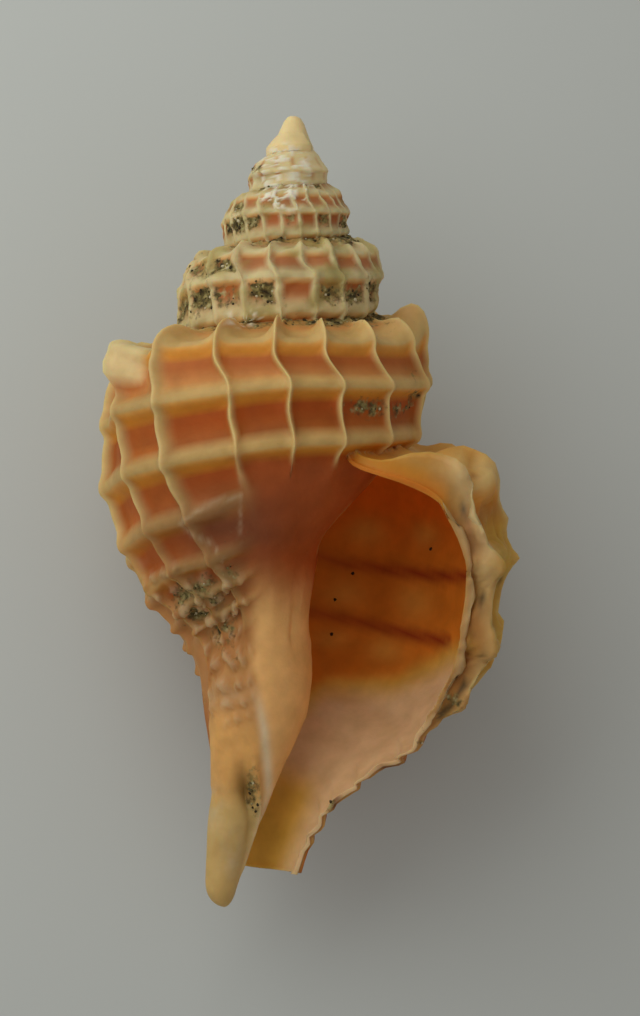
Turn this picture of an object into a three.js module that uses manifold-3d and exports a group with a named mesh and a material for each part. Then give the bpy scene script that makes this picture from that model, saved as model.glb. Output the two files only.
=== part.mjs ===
// A murex shell: one grown piece, modelled as a whorl outline wound down a logarithmic spiral.
// Sizes are millimetres. The shell lies on its back with the opening up: +X right, +Y to the apex, +Z up.
import * as THREE from "three";
import Module from "manifold-3d";

const wasm = await Module();
wasm.setup();
const degree = Math.PI / 180;

// The spiral. Each turn is this many times the size of the one before it.
const turnGrowth = 1.573;
const poleAboveApex = 0.88;
const axisSlant = 0.086;
const spireBow = 0.22;
const bowMiddle = 8;
const lipAngle = 30;
const lipDrop = 0.4;

// The whorl outline at angle zero, from the suture over the shoulder and seven cords to the canal.
const wallRadius = [6.3, 9.85, 10.65, 10.15, 9.0, 7.45, 5.75, 4.55, 3.95, 3.6];
const wallDepth = [16.35, 18.45, 21.25, 25.1, 28.6, 31.2, 33.05, 34.8, 36.4, 37.95];
const cordCount = 7;

// The ribs lie across the whorl, a little closer together toward the apex, and lean back below.
const ribStep = 26.1;
const ribCloser = 0.991;
const ribLean = [0, 3.5, -4, -7, -11.5, -16, -20, -22, -22, -22];
const ribHeight = [0.2, 0.8, 0.75, 0.75, 0.7, 0.65, 0.6, 0.5, 0.2, 0];
const ribHalf = 0.12;
const cordHeight = [0, 0.45, 0.6, 0.6, 0.5, 0.45, 0.4, 0.3, 0, 0];
const cordHalf = 0.28;
const knotHeight = 0.2;
const scaleLift = 0.9;
const lastRib = 66;
const mergeWithin = 0.02;

// Stretches of ribs along the spiral, each short of a full turn and overlapping the next.
const bands = [
  [0, 12],
  [11, 26],
  [25, 42],
  [41, 61],
  [60, 84],
  [81, 105],
];

// One rib on the left carries a large knob below the shoulder, and one on the right a tall corner scale.
const knobRib = 9;
const knobHeight = 1.15;
const cornerRib = 16;
const cornerLift = 0.9;
const cornerHeight = 0.5;

// On the left of the last turn the lower cords sag.
const cordSag = 0.8;

// The first whorls slope in a plain cone: drawn in and raised at the shoulder.
const coneNarrow = 0.28;
const coneRaise = 3.2;

// The lip flares below, stands higher at the shoulder, runs on along the suture, and ends in a thin rim
// past the last rib.
const lipFlare = [0, -0.1, 0.15, 0.25, 0.55, 0.6, 0.2, 0, 0, 0];
const lipRaise = 0.4;
const lipReach = 26;
const lipThin = 0.35;
const rimColumns = [-0.12, -0.1, -0.04];
const rimSunk = [1.1, 0.3, 0.4];
const plainLip = 0.06;

// The wall is hollow for most of the last turn, and thin at the suture.
const wallThickness = 0.75;
const hollowEnd = 11.8;

// Under the inner lip the base of the whorl before is eaten back.
const eatenBack = [0, 0, 0, 0.1, 1.1, 1.7, 1.7, 1.3, 0.6, 0];

// The pillar and canal curve to the left below one depth, and less below another.
const bendStart = 26.4;
const bendSlope = 0.17;
const straightFrom = 36;
const straightSlope = 0.09;
const canalLonger = 1.4;
const pillarDepth = [14, 22, 26, 29, 31, 33.5, 37, 39, 39.7, 40.05];
const pillarRadius = [0.5, 1.1, 1.8, 2.6, 2.35, 1.6, 1.22, 1.06, 0.75, 0.3];
const pillarDrawnIn = [0, 0, 0, 0, 0, 0, 0.26, 0.48, 0.5, 0.5];
const pillarSides = 12;

// The smooth first whorls at the tip.
const tipDepth = [0, 0.1, 0.35, 0.75, 1.4, 2.0];
const tipRadius = [0, 0.34, 0.52, 0.68, 0.98, 1.0];

// How the shell lies: turns about its length and across it, then the height that brings it to the table.
// The lowest knobs are worn flat at the table's level.
const restTurn = -4.5;
const restPitch = -5.7;
const middleDepth = 20;
const restLift = 9.5;
const tableBlock = { half: 30, deep: 5 };

// A smooth curve through values at whole numbers.
function along(values, s) {
  const last = values.length - 1;
  const i = Math.min(Math.max(Math.floor(s), 0), last - 1);
  const f = s - i;
  const a = values[Math.max(i - 1, 0)];
  const b = values[i];
  const c = values[i + 1];
  const d = values[Math.min(i + 2, last)];
  const first = 0.5 * (c - a) * f;
  const second = 0.5 * (2 * a - 5 * b + 4 * c - d) * f * f;
  const third = 0.5 * (3 * b - a - 3 * c + d) * f * f * f;
  return b + first + second + third;
}

function smoothStep(from, to, x) {
  const f = Math.min(Math.max((x - from) / (to - from), 0), 1);
  return f * f * (3 - 2 * f);
}

function bump(distance, half) {
  const f = Math.min(Math.abs(distance) / half, 1);
  return 0.5 + 0.5 * Math.cos(Math.PI * f);
}

// The angle of a column, in degrees, and the size of the whorl there.
function columnAngle(p, s) {
  const back = (1 - Math.pow(ribCloser, p)) / (1 - ribCloser);
  const reach = lipReach * (1 - smoothStep(0, 1.1, s)) * (1 - smoothStep(0, 3, p));
  return lipAngle - ribStep * back + along(ribLean, s) + reach;
}

function sizeAt(angle) {
  return Math.pow(turnGrowth, angle / 360);
}

// Relief of ribs and cords above the smooth wall, fading on the early whorls and under the inner lip.
function relief(p, s) {
  const rib = bump(p - Math.round(p), ribHalf);
  const nearest = Math.round(s);
  const isCord = nearest >= 1 && nearest <= cordCount;
  const cord = isCord ? bump(s - nearest, cordHalf) : 0;
  const ribFade = 1 - 0.35 * smoothStep(12, 30, p) - 0.65 * smoothStep(30, lastRib + 4, p);
  const cordFade = 1 - 0.35 * smoothStep(12, 30, p) - 0.65 * smoothStep(60, 100, p);
  const glazed = smoothStep(10.1, 10.8, p) * smoothStep(3.15, 3.6, s);
  const nearLip = 1 - smoothStep(1.2, 1.8, p);
  const onRib = along(ribHeight, s) * rib * ribFade * (1 + 0.3 * nearLip);
  const onCord = along(cordHeight, s) * cord * cordFade;
  const knot = knotHeight * rib * cord * cordFade * (1 + 0.6 * nearLip);
  const knob = knobHeight * bump(p - knobRib - 0.1, 0.45) * bump(s - 1.3, 0.6);
  const corner = cornerHeight * bump(p - cornerRib, 0.5) * bump(s - 0.85, 0.5);
  const crossed = Math.max(onRib, onCord) + 0.3 * Math.min(onRib, onCord);
  const high = (crossed + knot + knob + corner) * (1 - glazed);
  const lowLip = nearLip * smoothStep(3.7, 4.5, s);
  return high + (plainLip - high) * lowLip;
}

// Upturned scale where a rib crosses the shoulder.
function scale(p, s) {
  const rib = bump(p - Math.round(p), ribHalf);
  const early = 1 - 0.35 * smoothStep(15, 22, p) - 0.65 * smoothStep(30, 62, p);
  const level = 1 - bump(p - knobRib, 0.7);
  const corner = cornerLift * bump(p - cornerRib, 0.5) * bump(s - 0.8, 0.5);
  return scaleLift * rib * bump(s - 0.72, 0.4) * early * level + corner;
}

// From radius, depth below the apex and angle to the lying shell.
function place(radius, depth, angle) {
  const a = angle * degree;
  const bow = spireBow * bump(depth - bowMiddle, bowMiddle);
  const straight = straightSlope * Math.max(0, depth - straightFrom);
  const bend = bendSlope * Math.max(0, depth - bendStart) - straight - bow;
  const point = new THREE.Vector3(radius * Math.cos(a), -depth, radius * Math.sin(a));
  point.x += axisSlant * depth - bend;
  point.y += middleDepth;
  point.applyAxisAngle(new THREE.Vector3(0, 1, 0), restTurn * degree);
  point.applyAxisAngle(new THREE.Vector3(1, 0, 0), -restPitch * degree);
  point.z += restLift;
  return point;
}

// How far the inner face lies under the smooth wall: less near the upper lip and the suture.
function innerDepth(p, s) {
  const thin = lipThin * bump(p, 1.8) * (1 - smoothStep(3.4, 4.2, s));
  return wallThickness * (1 - thin) * (0.4 + 0.6 * smoothStep(0, 1, s));
}

// Height of the outer face: the relief, or past the last rib the rim that closes on the inner face.
function outerHeight(p, s) {
  const rim = rimColumns.indexOf(p);
  return rim < 0 ? relief(p, s) : -rimSunk[rim] * innerDepth(p, s);
}

function wallPoint(p, s, inward) {
  const angle = columnAngle(p, s);
  const size = sizeAt(angle);
  const step = 0.05;
  const before = Math.max(s - step, 0);
  const after = Math.min(s + step, wallRadius.length - 1);
  const alongRadius = along(wallRadius, after) - along(wallRadius, before);
  const alongDepth = along(wallDepth, after) - along(wallDepth, before);
  const length = Math.hypot(alongRadius, alongDepth);
  const flare = along(lipFlare, s) * (1 - smoothStep(1, 2.6, p));
  const out = inward > 0 ? -inward : outerHeight(p, s);
  const eaten = along(eatenBack, s) * smoothStep(10.8, 12.5, p);
  const cone = smoothStep(28, 80, p);
  const narrow = 1 - coneNarrow * cone * (1 - smoothStep(0.4, 2, s));
  const raised = coneRaise * cone * (1 - smoothStep(0, 1.8, s));
  const higher = lipRaise * bump(s - 0.85, 0.75) * (1 - smoothStep(0.8, 2.4, p));
  const sagged = cordSag * smoothStep(4, 8.5, p) * (1 - smoothStep(9.5, 12.3, p));
  const sag = sagged * smoothStep(1.2, 2, s) * (1 - smoothStep(5, 7.5, s));
  const longer = canalLonger * smoothStep(8, 9, s) * Math.max(p, 0) * (1 - smoothStep(3, 6, p));
  const radius = along(wallRadius, s) * narrow + flare - eaten + (out * alongDepth) / length;
  const lifted = inward > 0 || p < 0 ? 0 : scale(p, s);
  const smoothDepth = along(wallDepth, s) - raised - higher + longer + sag;
  const depth = smoothDepth - (out * alongRadius) / length - lifted;
  const drop = lipDrop * Math.pow(Math.max(0, (angle + 270) / 270), 1.5);
  return { radius: radius * size, depth: depth * size - poleAboveApex + drop, angle };
}

// A closed solid between the axis and a band of the wall, its ends closed on the axis.
function sector(columns, rows, at, topDepth, lowDepth) {
  const positions = [];
  const triangles = [];
  const add = (v) => positions.push(v.x, v.y, v.z) / 3 - 1;
  const top = add(place(0, topDepth, 0));
  const middle = add(place(0, 0.5 * (topDepth + lowDepth), 0));
  const low = add(place(0, lowDepth, 0));
  const grid = columns.map((p) =>
    rows.map((s) => {
      const point = at(p, s);
      return add(place(point.radius, point.depth, point.angle));
    }),
  );
  const last = rows.length - 1;
  for (let i = 0; i + 1 < grid.length; i += 1) {
    const here = grid[i];
    const next = grid[i + 1];
    triangles.push(top, here[0], next[0]);
    for (let j = 0; j < last; j += 1) {
      triangles.push(here[j], here[j + 1], next[j]);
      triangles.push(here[j + 1], next[j + 1], next[j]);
    }
    triangles.push(low, next[last], here[last]);
  }
  const lip = [top, ...grid[0], low];
  const deep = [top, ...grid[grid.length - 1], low];
  for (let j = 0; j + 1 < lip.length; j += 1) {
    triangles.push(middle, lip[j + 1], lip[j]);
    triangles.push(middle, deep[j], deep[j + 1]);
  }
  return solid(positions, triangles);
}

function solid(positions, triangles) {
  const mesh = new wasm.Mesh({
    numProp: 3,
    vertProperties: new Float32Array(positions),
    triVerts: new Uint32Array(triangles),
  });
  return new wasm.Manifold(mesh);
}

// A closed round solid along the axis, its right side drawn in by a share of the radius.
function spindle(depths, radii, sides, drawnIn = []) {
  const positions = [];
  const triangles = [];
  const add = (v) => positions.push(v.x, v.y, v.z) / 3 - 1;
  const last = depths.length - 1;
  const top = add(place(0, depths[0], 0));
  const low = add(place(0, depths[last], 0));
  const rings = depths.map((depth, i) =>
    Array.from({ length: sides }, (_, j) => {
      const angle = (360 * j) / sides;
      const share = 1 - (drawnIn[i] ?? 0) * (0.5 + 0.5 * Math.cos(angle * degree));
      return add(place(Math.max(radii[i] * share, 0.02), depth, angle));
    }),
  );
  for (let j = 0; j < sides; j += 1) {
    const n = (j + 1) % sides;
    triangles.push(top, rings[0][n], rings[0][j]);
    for (let i = 0; i < last; i += 1) {
      triangles.push(rings[i][j], rings[i][n], rings[i + 1][j]);
      triangles.push(rings[i][n], rings[i + 1][n], rings[i + 1][j]);
    }
    triangles.push(low, rings[last][j], rings[last][n]);
  }
  return solid(positions, triangles);
}

// A block below the table's level, to wear the lowest knobs flat.
function block({ half, deep }) {
  const positions = [];
  for (const z of [-deep, 0]) {
    positions.push(-half, -half, z, half, -half, z, half, half, z, -half, half, z);
  }
  const triangles = [0, 2, 1, 0, 3, 2, 4, 5, 6, 4, 6, 7];
  for (let i = 0; i < 4; i += 1) {
    const n = (i + 1) % 4;
    triangles.push(i, n, n + 4, i, n + 4, i + 4);
  }
  return solid(positions, triangles);
}

// Columns of a band: three for each rib, and one in three where the whorls are smooth.
function columnsOf([from, to]) {
  const columns = [];
  for (let rib = from; rib < Math.min(to, lastRib); rib += 1) {
    columns.push(rib + ribHalf, rib + 1 - ribHalf, rib + 1);
  }
  for (let smooth = Math.max(from, lastRib); smooth <= to; smooth += 3) {
    columns.push(smooth);
  }
  return from === 0 ? [...rimColumns, 0, ...columns] : columns;
}

function rowsFor(cords, below) {
  const rows = [0, 0.4];
  for (let cord = 1; cord <= cords; cord += 1) {
    rows.push(cord - cordHalf, cord, cord + cordHalf);
  }
  return [...rows, ...below];
}

const bodyRows = rowsFor(4, [4.6, 5, 5.5, 6, 6.5, 7, 7.5, 8.2, 9]);
const hiddenRows = rowsFor(3, [4, 5, 6, 7, 8, 9]);
const spireRows = rowsFor(3, [4]);

function bandSolid(band, i) {
  const rows = [bodyRows, hiddenRows][i] ?? spireRows;
  const topDepth = wallPoint(band[1], 0, 0).depth;
  const lowDepth = wallPoint(band[0], rows[rows.length - 1], 0).depth;
  return sector(columnsOf(band), rows, (p, s) => wallPoint(p, s, 0), topDepth, lowDepth);
}

const grownBands = bands.map(bandSolid);
const pillar = spindle(pillarDepth, pillarRadius, pillarSides, pillarDrawnIn);
const tip = spindle(tipDepth, tipRadius, pillarSides);
const inside = wasm.Manifold.union([...grownBands.slice(1), pillar]);

// The hollow runs from in front of the lip to its end behind the front wall.
const hollowColumns = [-0.5, -0.3, 0, 0.5, 1, 2, 3, 4, 5, 6, 7, 8, 9, 10, 11, hollowEnd];
const hollowRows = [0.04, 0.3, 0.6, 1, 1.5, 2, 3, 4, 5, 6, 7, 8, 9];
const hollow = sector(
  hollowColumns,
  hollowRows,
  (p, s) => wallPoint(p, s, innerDepth(p, s)),
  wallPoint(hollowEnd, 1, 1).depth,
  39,
);
const grown = wasm.Manifold.union([grownBands[0].subtract(hollow), inside, tip]);

// Closed pockets left between the turns are filled by keeping the outer skin alone.
const skins = grown.simplify(mergeWithin).subtract(block(tableBlock)).decompose();
const shell = skins.sort((a, b) => b.volume() - a.volume())[0];

const mesh = shell.getMesh();
const geometry = new THREE.BufferGeometry();
geometry.setAttribute("position", new THREE.BufferAttribute(mesh.vertProperties, 3));
geometry.setIndex(new THREE.BufferAttribute(mesh.triVerts, 1));
geometry.computeBoundingBox();
const middle = geometry.boundingBox.getCenter(new THREE.Vector3());
geometry.translate(-middle.x, -middle.y, 0);
geometry.computeVertexNormals();
const material = new THREE.MeshStandardMaterial({ color: 0xd9a878, roughness: 0.55, metalness: 0 });
const shellMesh = new THREE.Mesh(geometry, material);
shellMesh.name = "shell";
const root = new THREE.Group();
root.name = "murex_shell";
root.add(shellMesh);
export default root;
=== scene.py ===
import bpy
import numpy as np
from mathutils import Matrix, Vector


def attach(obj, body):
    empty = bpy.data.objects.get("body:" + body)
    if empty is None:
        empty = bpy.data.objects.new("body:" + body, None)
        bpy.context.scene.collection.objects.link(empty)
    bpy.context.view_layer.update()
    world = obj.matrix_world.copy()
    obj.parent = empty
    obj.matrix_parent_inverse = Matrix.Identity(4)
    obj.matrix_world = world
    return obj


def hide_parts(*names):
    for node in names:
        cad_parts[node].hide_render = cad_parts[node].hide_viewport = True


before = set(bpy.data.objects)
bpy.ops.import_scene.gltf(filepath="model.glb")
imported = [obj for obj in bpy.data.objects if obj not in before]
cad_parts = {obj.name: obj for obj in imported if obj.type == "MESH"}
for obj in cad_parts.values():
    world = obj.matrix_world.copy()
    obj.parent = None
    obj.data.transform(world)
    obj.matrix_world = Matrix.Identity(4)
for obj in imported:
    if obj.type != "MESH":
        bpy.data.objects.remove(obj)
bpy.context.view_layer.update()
scene = bpy.context.scene
mm = 0.001
degree = np.pi / 180

# how the shell winds and lies, in millimetres and degrees, as in the part's own source
growth = {
    "turnGrowth": 1.573,
    "poleAboveApex": 0.88,
    "axisSlant": 0.086,
    "spireBow": 0.22,
    "bowMiddle": 8,
    "lipAngle": 30,
    "lipDrop": 0.4,
    "ribStep": 26.1,
    "ribCloser": 0.991,
    "bendStart": 26.4,
    "bendSlope": 0.17,
    "straightFrom": 36,
    "straightSlope": 0.09,
    "restTurn": -4.5,
    "restPitch": -5.7,
    "middleDepth": 20,
    "restLift": 9.5,
    "centre": (2.9899, -0.0408),
}

# the whorl outline by cord number: 0 suture, 1 shoulder, 2 to 7 cords, 8 and 9 canal
outline = {
    "radius": [6.3, 9.85, 10.65, 10.15, 9.0, 7.45, 5.75, 4.55, 3.95, 3.6],
    "depth": [16.35, 18.45, 21.25, 25.1, 28.6, 31.2, 33.05, 34.8, 36.4, 37.95],
    "lean": [0, 3.5, -4, -7, -11.5, -16, -20, -22, -22, -22],
    "ribHeight": [0.25, 0.8, 0.8, 0.8, 0.75, 0.7, 0.62, 0.5, 0.2, 0],
    "cordHeight": [0, 0.58, 0.72, 0.72, 0.64, 0.58, 0.48, 0.36, 0, 0],
    "flare": [0, -0.1, 0.15, 0.25, 0.55, 0.6, 0.2, 0, 0, 0],
    "eatenBack": [0, 0, 0, 0.1, 1.1, 1.7, 1.7, 1.3, 0.6, 0],
    "cordCount": 7,
    "scaleLift": 0.9,
    "wall": 0.75,
    "hollowEnd": 11.8,
    "rimWidth": 0.12,
    "lipRaise": 0.4,
    "lipThin": 0.35,
    "lipReach": 26,      # how far the lip runs on along the suture, in degrees
    "knobRib": 9,        # the rib with the large shoulder knob on the left
    "knobHeight": 1.15,
    "cornerRib": 16,     # the rib whose scale stands up on the right
    "cordSag": 0.8,      # how far the lower cords sag on the left
    "asideRib": [9, 10, 11, 12, 13, 14, 15.5],      # ribs of the front that stand out of step, and how far
    "aside": [0, -0.08, 0.1, 0, -0.18, -0.2, 0],
}

rng = np.random.default_rng(11)
ribCount = 140
ribTall = 1 + 0.14 * rng.uniform(-1, 1, ribCount)       # each rib's own height
ribShift = 0.05 * rng.uniform(-1, 1, (ribCount, 12))    # each rib's own sway from cord to cord
cellTone = rng.uniform(-1, 1, (ribCount, 12))           # each cell's own shade
cellDirt = rng.uniform(0, 1, (ribCount, 12))            # each cell's own share of dirt
scallops = rng.uniform(-1, 1, 60)                       # chips along the lower lip


# smooth curve through the values at whole numbers
def along(values, s):
    v = np.asarray(values, float)
    last = len(v) - 1
    i = np.clip(np.floor(s).astype(int), 0, last - 1)
    f = s - i
    a, b = v[np.maximum(i - 1, 0)], v[i]
    c, d = v[i + 1], v[np.minimum(i + 2, last)]
    return b + 0.5 * ((c - a) * f + (2 * a - 5 * b + 4 * c - d) * f ** 2 + (3 * b - a - 3 * c + d) * f ** 3)


# 0 below the first edge, 1 above the second, an S curve between
def ease(low, high, x):
    f = np.clip((x - low) / (high - low), 0, 1)
    return f * f * (3 - 2 * f)


# bell of the given half width, 1 in the middle
def bell(x, half):
    return np.exp(-(x / half) ** 2)


# raised cosine, 1 in the middle and 0 past the half width
def hump(x, half):
    return 0.5 + 0.5 * np.cos(np.pi * np.minimum(np.abs(x) / half, 1))


def mix(a, b, f):
    return a + (b - a) * f


# lattice noise in space, -1 to 1: hashed corners blended by S curves
def grain(points, size, seed):
    q = points / size + 100.0
    base = np.floor(q).astype(np.int64)
    f = q - base
    f = f * f * (3 - 2 * f)
    total = np.zeros(len(points))
    for corner in range(8):
        step = np.array([corner & 1, corner >> 1 & 1, corner >> 2 & 1])
        c = base + step
        h = (c[:, 0] * 374761393 + c[:, 1] * 668265263 + c[:, 2] * 2147483647 + seed * 1442695041) & 0xFFFFFFFF
        h = ((h ^ (h >> 13)) * 1274126177) & 0xFFFFFFFF
        h = (h ^ (h >> 16)) & 0xFFFF
        weight = np.prod(np.where(step, f, 1 - f), axis=1)
        total += weight * (h / 32767.5 - 1)
    return total


# three octaves of the same noise
def cloud(points, size, seed):
    return 0.57 * grain(points, size, seed) + 0.29 * grain(points, size / 2, seed + 1) + 0.14 * grain(points, size / 4, seed + 2)


# angle of a column: ribs step back from the lip, a little closer each time, and lean with the cords
def columnAngle(p, s):
    back = (1 - growth["ribCloser"] ** p) / (1 - growth["ribCloser"])
    reach = outline["lipReach"] * (1 - ease(0, 1.1, s)) * (1 - ease(0, 3, p))
    return growth["lipAngle"] - growth["ribStep"] * back + along(outline["lean"], s) + reach


# each rib sways sideways from cord to cord and kinks where it crosses one
def ribSway(p, s):
    rib = np.clip(np.round(p).astype(int), 0, ribCount - 1)
    low = np.clip(np.floor(s).astype(int), 0, 10)
    f = ease(0, 1, s - low)
    sway = mix(ribShift[rib, low], ribShift[rib, low + 1], f)
    kink = 0.035 * np.sin(np.pi * 2 * (s - 0.15)) * ease(0.8, 1.2, s)
    aside = np.interp(p, outline["asideRib"], outline["aside"])
    return (sway - kink) * (1 - ease(20, 50, p)) * ease(0.2, 1.5, p) + aside


# cord section: a gentle rise from the apex side, a rounded top, a steep fall on the canal side
def cordSection(s, p):
    near = np.clip(np.round(s), 1, outline["cordCount"])
    early = ease(14, 22, p)
    v = s - near + 0.13 * early
    rise = hump(np.minimum(v + 0.03, 0), mix(0.36, 0.45, early))
    fall = hump(np.maximum(v - 0.04, 0), mix(0.22, 0.32, early))
    return np.where(v < 0, rise, fall)


# rib section: a narrow crest on a wider foot, both broader on the spire
def ribSection(u, p):
    early = np.maximum(ease(14, 24, p), 0.8 * bell(p - outline["knobRib"] - 1, 0.5))
    return 0.6 * bell(u, mix(0.05, 0.10, early)) + 0.4 * bell(u, mix(0.15, 0.22, early))


# height of ribs and cords above the smooth wall, with knots where they cross;
# near the lip the ribs turn into round folds with nodes, and the lower lip is plain
def relief(p, s):
    rib = np.clip(np.round(p).astype(int), 0, ribCount - 1)
    u = p - np.round(p)
    nearLip = 1 - ease(1.2, 1.8, p)
    ribFade = 1 - 0.35 * ease(12, 30, p) - 0.65 * ease(30, 70, p)
    cordFade = 1 - 0.35 * ease(12, 30, p) - 0.65 * ease(60, 100, p)
    glazed = ease(10.1, 10.8, p) * ease(3.15, 3.6, s)
    section = mix(ribSection(u, p), bell(u, mix(0.1, 0.15, ease(0.3, 0.7, p))), 0.7 * nearLip)
    onRib = along(outline["ribHeight"], s) * section * ribTall[rib] * ribFade
    onCord = along(outline["cordHeight"], s) * cordSection(s, p) * cordFade
    crossing = cordSection(s, p) ** 2 * cordFade * ease(0.7, 1, s) * (1 - ease(7, 8, s))
    knot = 0.22 * bell(u, 0.11) * crossing * (1 - nearLip)
    node = (0.55 - 0.2 * bell(p - 1, 0.4)) * nearLip * bell(u, 0.16) * bell(s - np.round(s), 0.22) * ease(0.6, 1, s) * (1 - ease(3.4, 4, s))
    knob = outline["knobHeight"] * bell(p - outline["knobRib"] - 0.1, 0.3) * ease(0.7, 1.15, s) * (1 - ease(1.38, 1.64, s))
    knob = knob + 0.5 * bell(p - outline["cornerRib"], 0.3) * bell(s - 0.85, 0.3)
    knob = knob - 0.4 * bell(p - 8.1, 0.45) * bell(s - 2.05, 0.35)
    knob = knob - 0.3 * bell(p - 9.3, 0.3) * bell(s - 1.68, 0.1) - 0.35 * bell(p - 9.62, 0.1) * bell(s - 1.3, 0.45)
    sunk = 0.22 * hump(p - 0.5, 0.42) * ease(0.6, 1.2, s) * (1 - ease(7, 8, s))
    sunk = sunk + (0.95 * bell(p - 0.3, 0.12) - 0.6 * bell(p - 0.7, 0.2)) * bell(s - 1.0, 0.5)
    fold = 0.55 * bell(p - 0.8, 0.45) * bell(s - 3.42, 0.2)      # the last fold of the lip, before its plain lower part
    high = np.maximum(onRib, onCord) + 0.3 * np.minimum(onRib, onCord) + knot + node + knob + fold - sunk
    high = mix(high, 0.06, nearLip * ease(3.7, 4.5, s))
    return high * (1 - glazed * (0.93 + 0.07 * ease(11, 11.5, p)))


# upturned scale on the shoulder at each rib, with a low skirt between the ribs
def shoulderScale(p, s):
    rib = np.clip(np.round(p).astype(int), 0, ribCount - 1)
    u = p - np.round(p)
    early = 1 - 0.35 * ease(15, 22, p) - 0.65 * ease(30, 62, p)
    level = 1 - bell(p - outline["knobRib"], 0.5)
    corner = 0.9 * bell(p - outline["cornerRib"], 0.3) * hump(s - 0.8, 0.5)
    return outline["scaleLift"] * ribTall[rib] * bell(u, 0.17) * hump(s - 0.74, 0.42) * early * level + corner


# from radius, depth below the apex and angle to the lying shell: wind, bend the canal, turn, pitch, lift
def layDown(radius, depth, angle):
    a = angle * degree
    straight = growth["straightSlope"] * np.maximum(0, depth - growth["straightFrom"])
    bow = growth["spireBow"] * hump(depth - growth["bowMiddle"], growth["bowMiddle"])
    bend = growth["bendSlope"] * np.maximum(0, depth - growth["bendStart"]) - straight - bow
    x = radius * np.cos(a) + growth["axisSlant"] * depth - bend
    y = growth["middleDepth"] - depth
    z = radius * np.sin(a)
    return toTable(np.stack(np.broadcast_arrays(x, y, z), -1))


# the turn about the length and the pitch across it, as one matrix
turn, pitch = growth["restTurn"] * degree, -growth["restPitch"] * degree
aboutY = np.array([[np.cos(turn), 0, np.sin(turn)], [0, 1, 0], [-np.sin(turn), 0, np.cos(turn)]])
aboutX = np.array([[1, 0, 0], [0, np.cos(pitch), -np.sin(pitch)], [0, np.sin(pitch), np.cos(pitch)]])
lying = aboutX @ aboutY
tableShift = np.array([-growth["centre"][0], -growth["centre"][1], growth["restLift"]])


def toTable(points):
    return points @ lying.T + tableShift


# the front view: looks down on the opening, the apex leaning a little to the right
view = {"pitch": 3.3, "roll": 7.2, "distance": 300, "across": 75.4, "down": 0.8, "pixel": 40 / 793, "rows": 1016}
cp, sp = np.cos(view["pitch"] * degree), np.sin(view["pitch"] * degree)
cr, sr = np.cos(view["roll"] * degree), np.sin(view["roll"] * degree)
fromView = lying @ np.array([[1, 0, 0], [0, cp, -sp], [0, sp, cp]])
right = fromView @ np.array([cr, sr, 0])
up = fromView @ np.array([-sr, cr, 0])
back = fromView @ np.array([0, 0, 1])
aim = tableShift + right * view["across"] * view["pixel"] - up * view["down"] * view["pixel"]


# where points lie on the front view, in picture points from the top left corner
def onView(points):
    fromAim = points - aim
    return 320 + fromAim @ right / view["pixel"], view["rows"] / 2 - fromAim @ up / view["pixel"]


# wall point: the outline scaled by the spiral, pushed out along its own normal by the relief
def wallPoint(p, s, inward=None):
    wave = 0.07 * (hump(s - np.round(s), 0.5) - 0.5) * ease(0.02, -0.1, p) * ease(0.3, 1, s)
    pp = p + ribSway(p, s) - wave
    angle = columnAngle(pp, s)
    size = growth["turnGrowth"] ** (angle / 360)
    before, after = np.maximum(s - 0.05, 0), np.minimum(s + 0.05, 9)
    dr = along(outline["radius"], after) - along(outline["radius"], before)
    dd = along(outline["depth"], after) - along(outline["depth"], before)
    length = np.hypot(dr, dd)
    flare = along(outline["flare"], s) * (1 - ease(1, 2.6, p))
    chips = 0.3 * np.maximum(along(scallops, s * 5.5), -0.7) * (1 - ease(0.4, 1.5, p))
    flare = flare + chips * ease(3.8, 4.6, s) * (1 - ease(7.6, 8.4, s))
    q = np.maximum(p, 0)
    longer = 1.4 * ease(8, 9, s) * q * (1 - ease(3, 6, p))      # the canal ends in a straight cut
    early = ease(28, 80, p)
    narrow = 1 - 0.28 * early * (1 - ease(0.4, 2, s))      # the first whorls slope in a plain cone
    raised = 3.2 * early * (1 - ease(0, 1.8, s))
    eaten = along(outline["eatenBack"], s) * ease(10.8, 12.5, p)
    if inward is None:
        # past the last rib the wall sinks, then a thin rim rises and rounds over onto the inner face
        f = np.minimum(p, 0) / outline["rimWidth"]
        high = np.interp(f, [-1, -0.55, -0.3, -0.12, 0], [0, 0, 0.08, 0.5, 1])
        low = np.interp(f, [-1, -0.97, -0.9, -0.8, -0.5, -0.25, 0], [1.08, 0.75, 0.42, 0.3, 0.45, 0.4, 0])
        out = relief(q, s) * high - low * innerDepth(p, s) + lamellae(p, s)
        lifted = shoulderScale(q, s) * high
    else:
        out = -inward
        lifted = 0
    higher = outline["lipRaise"] * hump(s - 0.85, 0.75) * (1 - ease(0.8, 2.4, p))
    sag = outline["cordSag"] * ease(4, 8.5, p) * (1 - ease(9.5, 12.3, p)) * ease(1.2, 2, s) * (1 - ease(5, 7.5, s))
    radius = along(outline["radius"], s) * narrow + flare - eaten + out * dd / length
    depth = along(outline["depth"], s) - raised - higher + longer + sag - out * dr / length - lifted
    drop = growth["lipDrop"] * np.maximum(0, (angle + 270) / 270) ** 1.5
    return radius * size, depth * size - growth["poleAboveApex"] + drop, angle


# thin wavy growth edges that run along the lip
def lamellae(p, s):
    phase = (p + 0.035 * along(scallops, s * 3 + 7)) / 0.115
    kept = ease(-0.11, -0.07, p) * (1 - ease(0.75, 1.1, p)) * ease(0.9, 1.3, s) * (1 - ease(3.8, 4.4, s))
    return 0.11 * np.cos(2 * np.pi * phase) * kept


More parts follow.
